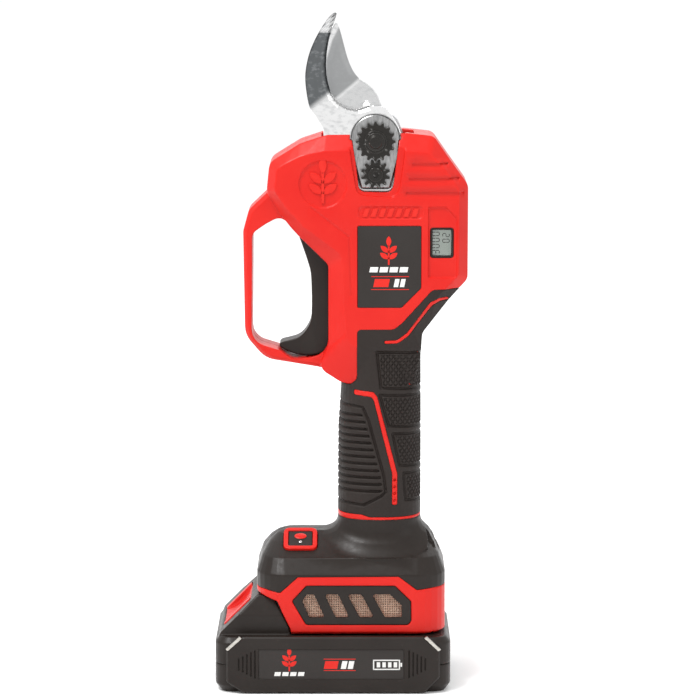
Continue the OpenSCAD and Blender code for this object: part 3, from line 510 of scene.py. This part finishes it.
# Pitch of the knurl round the grip and along it, then its depth and half width in pitches
KNURL_AROUND, KNURL_ALONG = 2.5, 3.3
KNURL_DEPTH, KNURL_HALF = 0.85, 0.27
RIB_PANEL = [(-20, 142.6), (0, 142.2), (10.6, 141), (13.4, 135), (21.4, 106.5), (22.4, 98.2),
             (19.9, 95.9), (11, 91.3), (-1, 92.2), (-20, 92)]
RIB_TOP, RIB_STEP, RIB_COUNT = 137.0, 3.5, 12
RIB_DEPTH, RIB_HALF = 1.5, 1.1
PANEL_BORDER_DEPTH, PANEL_BORDER_HALF, PANEL_LAND = 1.2, 1.1, 1.2


def rubber_details(points, normals):
    """Knurled pads, ribs and their borders on one half of the grip."""
    x, y, z = points.T
    radial = np.stack([(x - GRIP_X), y, 0 * z], axis=1)
    radial /= np.linalg.norm(radial, axis=1)[:, None] + 1e-9
    outer = np.einsum("ij,ij->i", normals, radial) > 0.35
    around = GRIP_RADIUS * np.arctan2(x - GRIP_X, np.abs(y))
    a = around / KNURL_AROUND + z / KNURL_ALONG
    b = around / KNURL_AROUND - z / KNURL_ALONG
    groove = np.minimum(np.abs(a - np.round(a)), np.abs(b - np.round(b)))
    knurl = KNURL_DEPTH * dip(groove, KNURL_HALF)
    sink = np.zeros(len(x))
    for pad in KNURL_PADS:
        border = distance(pad, x, z)
        sink += np.where(inside(pad, x, z) & (border > PAD_LAND), knurl, 0)
        sink += PAD_BORDER_DEPTH * dip(border, PAD_BORDER_HALF) * (x < PAD_END)
    edge = distance(RIB_PANEL, x, z)
    ribs = np.zeros(len(x))
    for k in range(RIB_COUNT):
        ribs += dip(z - (RIB_TOP - RIB_STEP * k), RIB_HALF)
    sink += np.where(inside(RIB_PANEL, x, z), ribs * fade(edge, PANEL_LAND, 1.0) * RIB_DEPTH, 0)
    sink += PANEL_BORDER_DEPTH * dip(edge, PANEL_BORDER_HALF)
    return points - radial * (outer * np.minimum(sink, GRIP_DEEPEST))[:, None]


# ---------------------------------------------------------------- blades and trigger
HOOK_EDGE = [(-2, 335), (-5.2, 325), (-6.9, 315.2), (-7, 306), (-5.6, 299), (-3.4, 294.4), (0, 291),
             (4, 289), (8.4, 288.6), (13, 290)]
HOOK_BACK = [(-2, 335), (-5.4, 333.6), (-10.4, 326.4), (-15, 316.7), (-17.2, 306.9), (-17, 298.7),
             (-15.1, 288.9), (-11, 282)]
HOOK_CHAMFER_DEPTH, HOOK_CHAMFER_WIDTH = 1.5, 3.2
HOOK_CROWN_DEPTH, HOOK_CROWN_WIDTH = 0.9, 4.5
TIP_RIDGE_DEPTH, TIP_RIDGE_PITCH, TIP_RIDGE_SLANT = 0.2, 1.9, 0.8
# Height at which the shaping, the crown and the ridges start, and over what height each comes in
HOOK_ROOT, HOOK_CROWN, HOOK_RIDGES = (279, 4), (286, 14), (325.6, 0.8)
# The same for the stretch where a painted dark reflection and rougher steel come in, with its slant,
# and for the tip, with the share of that painted reflection and roughness it loses
DARK_REFLECTION_AND_DULL_START, DARK_REFLECTION_AND_DULL_SLANT = (298, 5), 0.78
TIP_START, TIP_POLISH_AND_LESS_REFLECTION = (325.4, 0.8), 0.72
CUT_EDGE = [(-2.3, 330.6), (-6.4, 323), (-9.4, 313), (-9.8, 303), (-7, 294), (-2, 286)]
CUT_BACK = [(-2.3, 330.6), (-0.4, 326.7), (1.6, 319.4), (3.5, 312.6), (6, 306.9), (8.9, 303.3)]
CREASE = [(9.6, 302.4), (-2.4, 292.4)]
# The hollow comes in past the crease, inside a land along the edge, and in from the back
HOLLOW_DEPTH, HOLLOW_PAST_CREASE, HOLLOW_LAND, HOLLOW_FROM_BACK = 0.5, 9, (1.4, 4), 3
# The bevel comes in above the root
BEVEL_DEPTH, BEVEL_WIDTH, BEVEL_START = 2.7, 9.0, (284, 4)
# Share of painted dark reflection and roughness on the flat before the crease and on the ground face
# past it, inside the land along the edge that is left bright
FLAT_TONE, GROUND_TONE, BRIGHT_LAND = 0.3, 0.72, (1.6, 1.5)
RETAINER_EDGE = [(4.6, 274), (4.6, 268), (9.6, 249.3), (24.4, 249.3), (29.2, 266), (29.2, 274)]
RETAINER_ROUND_X, RETAINER_ROUND_Z, RETAINER_ROUND_RADIUS = 16.9, 274.2, 12.2
RETAINER_BEVEL_DEPTH, RETAINER_BEVEL_WIDTH = 0.7, 1.3
TRIGGER_NARROWING, TRIGGER_FINGER_SIDE = 0.12, (12, 8)


def hook_shape(points, normals):
    """Chamfer along the inside of the hook, a crowned back and fine ridges at the tip."""
    x, y, z = points.T
    edge = distance(HOOK_EDGE, x, z, closed=False)
    back = distance(HOOK_BACK, x, z, closed=False)
    wave = 0.5 + 0.5 * np.cos(2 * pi * (z - TIP_RIDGE_SLANT * x) / TIP_RIDGE_PITCH)
    sink = (HOOK_CHAMFER_DEPTH * dip(edge, HOOK_CHAMFER_WIDTH)
            + HOOK_CROWN_DEPTH * dip(back, HOOK_CROWN_WIDTH) * fade(z, *HOOK_CROWN))
    sink += TIP_RIDGE_DEPTH * wave * fade(z, *HOOK_RIDGES)
    moved = points.copy()
    moved[:, 1] += (normals[:, 1] < -0.2) * fade(z, *HOOK_ROOT) * sink
    return moved


def hook_dark_reflection_and_dullness(points, normals):
    """Painted dark reflection in the steel's colour, with rougher steel, between the ridged tip and
    the polished heel of the hook.
    """
    x, y, z = points.T
    return fade(z - DARK_REFLECTION_AND_DULL_SLANT * x, *DARK_REFLECTION_AND_DULL_START) * (1 - TIP_POLISH_AND_LESS_REFLECTION * fade(z, *TIP_START))


def past_crease(x, z):
    """How far each point is on the blade side of the cutter's crease."""
    (ax, az), (bx, bz) = CREASE
    return ((x - ax) * (bz - az) - (z - az) * (bx - ax)) / hypot(bx - ax, bz - az)


def cutter_shape(points, normals):
    """Hollow-ground front, and a wide bevel down to the edge behind."""
    x, y, z = points.T
    edge = distance(CUT_EDGE, x, z, closed=False)
    back = distance(CUT_BACK, x, z, closed=False)
    hollow = (ease(past_crease(x, z) / HOLLOW_PAST_CREASE) * fade(edge, *HOLLOW_LAND)
              * ease(back / HOLLOW_FROM_BACK))
    bevel = dip(edge, BEVEL_WIDTH) * fade(z, *BEVEL_START)
    moved = points.copy()
    moved[:, 1] += np.where(normals[:, 1] < -0.2, HOLLOW_DEPTH * hollow, 0)
    moved[:, 1] -= np.where(normals[:, 1] > 0.2, BEVEL_DEPTH * bevel, 0)
    return moved


def cutter_dark_reflection_and_dullness(points, normals):
    """Painted dark reflection and rougher steel on the ground face, inside a bright land along the
    edge.
    """
    x, y, z = points.T
    edge = distance(CUT_EDGE, x, z, closed=False)
    past = past_crease(x, z)
    flat = FLAT_TONE * ease(0.5 - past / 2)
    return flat + GROUND_TONE * ease(past / 2) * fade(edge, *BRIGHT_LAND)


def retainer_shape(points, normals):
    """Bevelled rim round the retainer plate, straight below and round above."""
    x, y, z = points.T
    spoke = np.hypot(x - RETAINER_ROUND_X, z - RETAINER_ROUND_Z)
    gap = np.where(z > RETAINER_EDGE[0][1], np.abs(spoke - RETAINER_ROUND_RADIUS),
                   distance(RETAINER_EDGE, x, z, closed=False))
    moved = points.copy()
    bevel = RETAINER_BEVEL_DEPTH * dip(gap, RETAINER_BEVEL_WIDTH)
    moved[:, 1] += np.where(normals[:, 1] < -0.5, bevel, 0)
    return moved


def trigger_shape(points, normals):
    """Narrows the trigger towards its finger side."""
    moved = points.copy()
    moved[:, 1] *= 1 - TRIGGER_NARROWING * fade(-points[:, 0], *TRIGGER_FINGER_SIDE)
    return moved


# Node, voxel in millimetres, rounds of smoothing, share of faces kept, shape and tone functions
MOULDED = (
    ("shell_front", 0.4, 4, 0.16, head_details),
    ("shell_rear", 0.5, 5, 0.16),
    ("grip_front", 0.32, 2, 0.75, rubber_details),
    ("grip_rear", 0.32, 2, 0.75, rubber_details),
    ("foot_cover_front", 0.4, 6, 0.3, flare),
    ("foot_cover_rear", 0.4, 6, 0.3, flare),
    ("vent_grille_front", 0.3, 4, 0.3),
    ("vent_grille_rear", 0.3, 4, 0.3),
    ("trigger", 0.5, 10, 0.4, trigger_shape),
    ("power_frame", 0.25, 4, 0.3),
    ("power_button", 0.25, 4, 0.3),
    ("name_plate", 0.3, 2, 0.2),
    ("display_bezel", 0.25, 3, 0.3),
    ("pack_upper_case", 0.5, 4, 0.2),
    ("pack_lower_case", 0.5, 5, 0.2),
    ("pack_side_plates", 0.2, 1, 0.25),
    ("pack_bars", 0.25, 3, 0.4),
    ("release_button", 0.4, 5, 0.3),
    ("hook_blade", 0.25, 3, 0.9, hook_shape, hook_dark_reflection_and_dullness),
    ("cutting_blade", 0.3, 3, 0.7, cutter_shape, cutter_dark_reflection_and_dullness),
    ("retainer_plate", 0.2, 2, 0.4, retainer_shape),
    ("toothed_nut", 0.16, 2, 0.5),
    ("lock_gear", 0.16, 2, 0.5),
    ("lock_screw", 0.15, 3, 0.4),
    ("pivot_bolt", 0.25, 3, 0.4),
)


# ---------------------------------------------------------------- marks
# The name plate lies just behind the front face of the head
HEAD_FACE = box_mm("name_plate")[0].y - 0.1


def bar_points(cx, cz, width, height, lean=0.0):
    w, h = width / 2, height / 2
    return [(cx - w - lean * h, cz - h), (cx + w - lean * h, cz - h), (cx + w + lean * h, cz + h),
            (cx - w + lean * h, cz + h)]


def bars(rows, depths):
    """Small plates, each row holding a middle, width, height and lean."""
    return [solid_plate(bar_points(*row), *depths) for row in rows]


def leaf_points(cx, cz, length, width, turn):
    """Pointed leaf with its foot at the given place."""
    side = [(length * t, width * sin(pi * t) ** 0.8) for t in [k / 8 for k in range(9)]]
    outline = side + [(u, -v) for u, v in side[-2:0:-1]]
    c, s = cos(radians(turn)), sin(radians(turn))
    return [(cx + u * c - v * s, cz + u * s + v * c) for u, v in outline]


def twig(cx, cz, size, depths):
    """A stem with five leaves."""
    works = bars([(cx, cz - 0.1 * size, 0.08 * size, 0.9 * size)], depths)
    for height, turn in ((-0.28, 35), (-0.28, 145), (0.02, 40), (0.02, 140), (0.3, 90)):
        leaf = leaf_points(cx, cz + height * size, 0.5 * size, 0.12 * size, turn)
        works.append(solid_plate(leaf, *depths))
    return works


def added(name, works, node, slot):
    flat_edges(finish_piece(joined(name, works), node, slot))


def printed(face):
    """Front, back and rim of a print that stands just proud of a face."""
    return face - 0.12, face + 0.1, 0.02


def emblem():
    """Twig that stands in the round recess on the head."""
    recess = HEAD_FACE + 0.8
    works = twig(-8.8, 252.2, 17, (recess - 0.7, recess + 0.3, 0.2))
    added("emblem", works, "shell_front", "red_plastic")


def word_strip_marks():
    """Plain slanted bars that stand in a sunk strip on the head."""
    recess = HEAD_FACE + 0.6
    rows = [(12.4 + 4 * k, 238.3, 2.4, 4.2, 0.35) for k in range(7)]
    works = bars(rows, (recess - 0.6, recess + 0.3, 0.12))
    added("strip_marks", works, "shell_front", "red_plastic")


def plate_marks():
    """Generic printed marks on the name plate."""
    ink = printed(box_mm("name_plate")[0].y)
    added("plate_mark_red", twig(23.5, 218.4, 10.5, ink), "name_plate", "red_plastic")
    white = [(16.2 + 4.9 * k, 210.2, 4.0, 2.6, 0.2) for k in range(4)]
    white += [(27.4 + 3.0 * k, 203.6, 2.2, 4.0, 0.2) for k in range(2)]
    added("plate_mark_white", bars(white, ink), "name_plate", "print_white")
    red = [(20.0, 203.6, 7.4, 4.0, 0.2)]
    red += [(24.2, height, 18.6, 0.35) for height in (200.4, 206.8)]
    added("plate_mark_bar", bars(red, ink), "name_plate", "red_plastic")


LABEL_PANEL = [(-40.6, 8.2), (-40, 7.8), (30.4, 7.8), (31, 8.2), (31, 22), (30.4, 22.4),
               (-40, 22.4), (-40.6, 22)]


def label_marks():
    """Generic printed marks and a charge gauge on the pack's label panel."""
    face = box_mm("pack_side_plates")[0].y + 0.5
    ink = printed(face)
    panel = solid_plate(LABEL_PANEL, face - 0.07, face + 0.3, 0.03)
    added("label_panel", [panel], "pack_side_plates", "grey_panel")
    added("label_twig", twig(-25.6, 16.6, 9.0, ink), "pack_side_plates", "red_plastic")
    white = [(-31.4 + 3.9 * k, 10.2, 3.0, 2.0, 0.2) for k in range(4)]
    white += [(1.6 + 3.4 * k, 14.8, 2.6, 4.0, 0.2) for k in range(2)]
    white += [(22.6, height, 12.6, 0.6) for height in (12.6, 17.2)]
    white += [(x, 14.9, 0.6, 5.2) for x in (16.2, 29.0)]
    white += [(29.9, 14.9, 0.8, 2.0)]
    white += [(18.6 + 2.8 * k, 14.9, 1.7, 2.6) for k in range(4)]
    added("label_white", bars(white, ink), "pack_side_plates", "print_white")
    red = [(-4.8, 14.8, 6.6, 4.0, 0.2)]
    red += [(-0.6, height, 15.8, 0.35) for height in (12.0, 17.8)]
    added("label_red", bars(red, ink), "pack_side_plates", "red_plastic")


# Seven-segment figures. Each segment: across, up, and whether it stands upright
SEGMENTS = {"top": (0, 1, 0), "bottom": (0, -1, 0), "middle": (0, 0, 0),
            "upper_left": (-1, 0.5, 1), "upper_right": (1, 0.5, 1),
            "lower_left": (-1, -0.5, 1), "lower_right": (1, -0.5, 1)}
DIGITS = {"0": ("top", "bottom", "upper_left", "upper_right", "lower_left", "lower_right"),
          "2": ("top", "bottom", "middle", "upper_right", "lower_left"),
          "3": ("top", "bottom", "middle", "upper_right", "lower_right")}


def digit(cx, cz, height, figure):
    """Bars of one figure, read with its top towards the left."""
    rows = []
    for name in DIGITS[figure]:
        across, up, upright = SEGMENTS[name]
        u, v = across * height * 0.25, up * height * 0.5
        long, thick = height * 0.42, height * 0.13
        width, tall = (thick, long) if upright else (long * 0.9, thick)
        rows.append((cx - v, cz + u, tall, width))
    return rows


def lcd_digits():
    face = box_mm("lcd_panel")[0].y
    rows = []
    for k, figure in enumerate("0003"):
        rows += digit(46.6, 227.6 - 3.0 * k, 3.4, figure)
    for k, figure in enumerate("20"):
        rows += digit(51.6, 227.0 - 2.8 * k, 3.2, figure)
    works = bars(rows, (face - 0.08, face + 0.05, 0.01))
    added("lcd_digits", works, "lcd_panel", "black_plastic")


# The button's top slopes down to the front, this far out from the middle of its box
BUTTON_TILT, BUTTON_RISE = radians(28), 1.15
SPOT_SIDES = 32
# Name, place along the slope, half width, half length, height and material
BUTTON_SPOTS = (("power_oval", 1.6, 3.0, 2.1, 0.5, "red_plastic"),
                ("power_lens", -2.8, 0.8, 0.8, 0.35, "bright_steel"))


def power_marks():
    """Raised oval and small round lens on the sloping power button."""
    low, high = box_mm("power_button")
    cos_tilt, sin_tilt = cos(BUTTON_TILT), sin(BUTTON_TILT)
    middle = ((low.x + high.x) / 2, (low.y + high.y) / 2 - BUTTON_RISE * sin_tilt,
              (low.z + high.z) / 2 + BUTTON_RISE * cos_tilt)
    for name, along, wide, long, rise, slot in BUTTON_SPOTS:
        work = bmesh.new()
        rings = []
        for level, size in ((-0.5, 1.0), (0.4 * rise, 1.0), (0.85 * rise, 0.8), (rise, 0.45)):
            ring = []
            for k in range(SPOT_SIDES):
                u = wide * size * cos(2 * pi * k / SPOT_SIDES)
                v = along + long * size * sin(2 * pi * k / SPOT_SIDES)
                ring.append(work.verts.new(((middle[0] + u) * MM,
                                            (middle[1] + v * cos_tilt - level * sin_tilt) * MM,
                                            (middle[2] + v * sin_tilt + level * cos_tilt) * MM)))
            rings.append(ring)
        loft(work, rings)
        bmesh.ops.recalc_face_normals(work, faces=work.faces)
        added(name, [work], "power_button", slot)


# ---------------------------------------------------------------- dust mesh
WEAVE_PITCH, THREAD_RADIUS, THREAD_SIDES = 0.9, 0.25, 5
WEAVE_MARGIN, WEAVE_DEPTH = 0.8, 0.35


def thread(work, points):
    """Closed round thread swept along points."""
    rings = []
    for i, point in enumerate(points):
        before = np.array(points[max(i - 1, 0)])
        after = np.array(points[min(i + 1, len(points) - 1)])
        along = (after - before) / np.linalg.norm(after - before)
        across = np.cross(along, (0, 1, 0))
        across /= np.linalg.norm(across)
        other = np.cross(along, across)
        ring = []
        for k in range(THREAD_SIDES):
            angle = 2 * pi * k / THREAD_SIDES
            offset = THREAD_RADIUS * (cos(angle) * across + sin(angle) * other)
            ring.append(work.verts.new((np.array(point) + offset) * MM))
        rings.append(ring)
    loft(work, rings)


def woven_sheet(rear):
    """Plain-woven dust mesh behind the four windows of one side."""
    low, high = box_mm("vent_mesh")
    depth = high.y - WEAVE_DEPTH if rear else low.y + WEAVE_DEPTH
    columns = int((high.x - low.x - 1) / WEAVE_PITCH)
    rows = int((high.z - low.z - 1) / WEAVE_PITCH)
    xs = [low.x + WEAVE_MARGIN + WEAVE_PITCH * k for k in range(columns)]
    zs = [low.z + WEAVE_MARGIN + WEAVE_PITCH * k for k in range(rows)]
    work = bmesh.new()
    lift = THREAD_RADIUS * 0.9
    for i, x in enumerate(xs):
        thread(work, [(x, depth + lift * cos(pi * (i + k / 2)), zs[0] + WEAVE_PITCH * k / 2)
                      for k in range(-1, 2 * rows)])
    for j, z in enumerate(zs):
        thread(work, [(xs[0] + WEAVE_PITCH * k / 2, depth - lift * cos(pi * (j + k / 2)), z)
                      for k in range(-1, 2 * columns)])
    bmesh.ops.recalc_face_normals(work, faces=work.faces)
    name = "vent_weave_rear" if rear else "vent_weave_front"
    return finish_piece(joined(name, [work]), "vent_mesh")


# ---------------------------------------------------------------- all pieces
def draw_added():
    emblem()
    word_strip_marks()
    plate_marks()
    label_marks()
    lcd_digits()
    power_marks()
    sheets = [woven_sheet(False), woven_sheet(True)]
    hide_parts("vent_mesh")


def build_pieces():
    for row in MOULDED:
        moulded(*row)
    draw_added()
    for node, piece in frame["nodes"].items():
        if not piece.hide_render:
            for place in piece.material_slots:
                place.material = MATERIALS[SLOT[node]]


build_pieces()


# ---------------------------------------------------------------- floor, light and camera, in metres
FLOOR_SIZE = 60
SKY_STRENGTH = 1.06
TOOL_MIDDLE = (0, 0, 0.17)
# Name, place, width, height and power in watts
SOFTBOXES = (("key", (-0.5, -0.5, 1.3), 0.4, 0.4, 14),
             ("fill", (1.2, -0.9, 0.7), 0.5, 1.0, 2),
             ("rim", (0.3, 1.2, 1.1), 1.0, 0.6, 6))
CAMERA_PLACE = (0.0045, -1.483, 0.396)
CAMERA_DOWN = 8.78  # degrees below level
SENSOR_MM, LENS_MM = 36, 154.3


def stage_floor():
    bpy.ops.mesh.primitive_plane_add(size=FLOOR_SIZE)
    floor = bpy.context.object
    floor.name = "floor"
    floor.data.materials.append(Paint("floor", (0.97, 0.97, 0.97), 0.95).material)


def softbox(name, place, width, height, watts):
    """Rectangular lamp that faces the middle of the tool."""
    lamp = bpy.data.lights.new(name, "AREA")
    lamp.shape = "RECTANGLE"
    lamp.size, lamp.size_y = width, height
    lamp.energy = watts
    holder = bpy.data.objects.new(name, lamp)
    bpy.context.scene.collection.objects.link(holder)
    holder.location = place
    away = holder.location.copy()
    for axis in range(3):
        away[axis] -= TOOL_MIDDLE[axis]
    holder.rotation_euler = away.to_track_quat("Z", "Y").to_euler()


def studio():
    world = bpy.data.worlds.new("studio")
    bpy.context.scene.world = world
    world.use_nodes = True
    sky = world.node_tree.nodes["Background"]
    sky.inputs["Color"].default_value = (1, 1, 1, 1)
    sky.inputs["Strength"].default_value = SKY_STRENGTH
    for row in SOFTBOXES:
        softbox(*row)
    bpy.context.scene.view_settings.view_transform = "Standard"


def camera():
    lens = bpy.data.cameras.new("camera")
    holder = bpy.data.objects.new("camera", lens)
    bpy.context.scene.collection.objects.link(holder)
    holder.location = CAMERA_PLACE
    holder.rotation_euler = (radians(90 - CAMERA_DOWN), 0, 0)
    lens.sensor_width = SENSOR_MM
    lens.lens = LENS_MM
    lens.clip_start = 0.05
    bpy.context.scene.camera = holder


stage_floor()
studio()
camera()
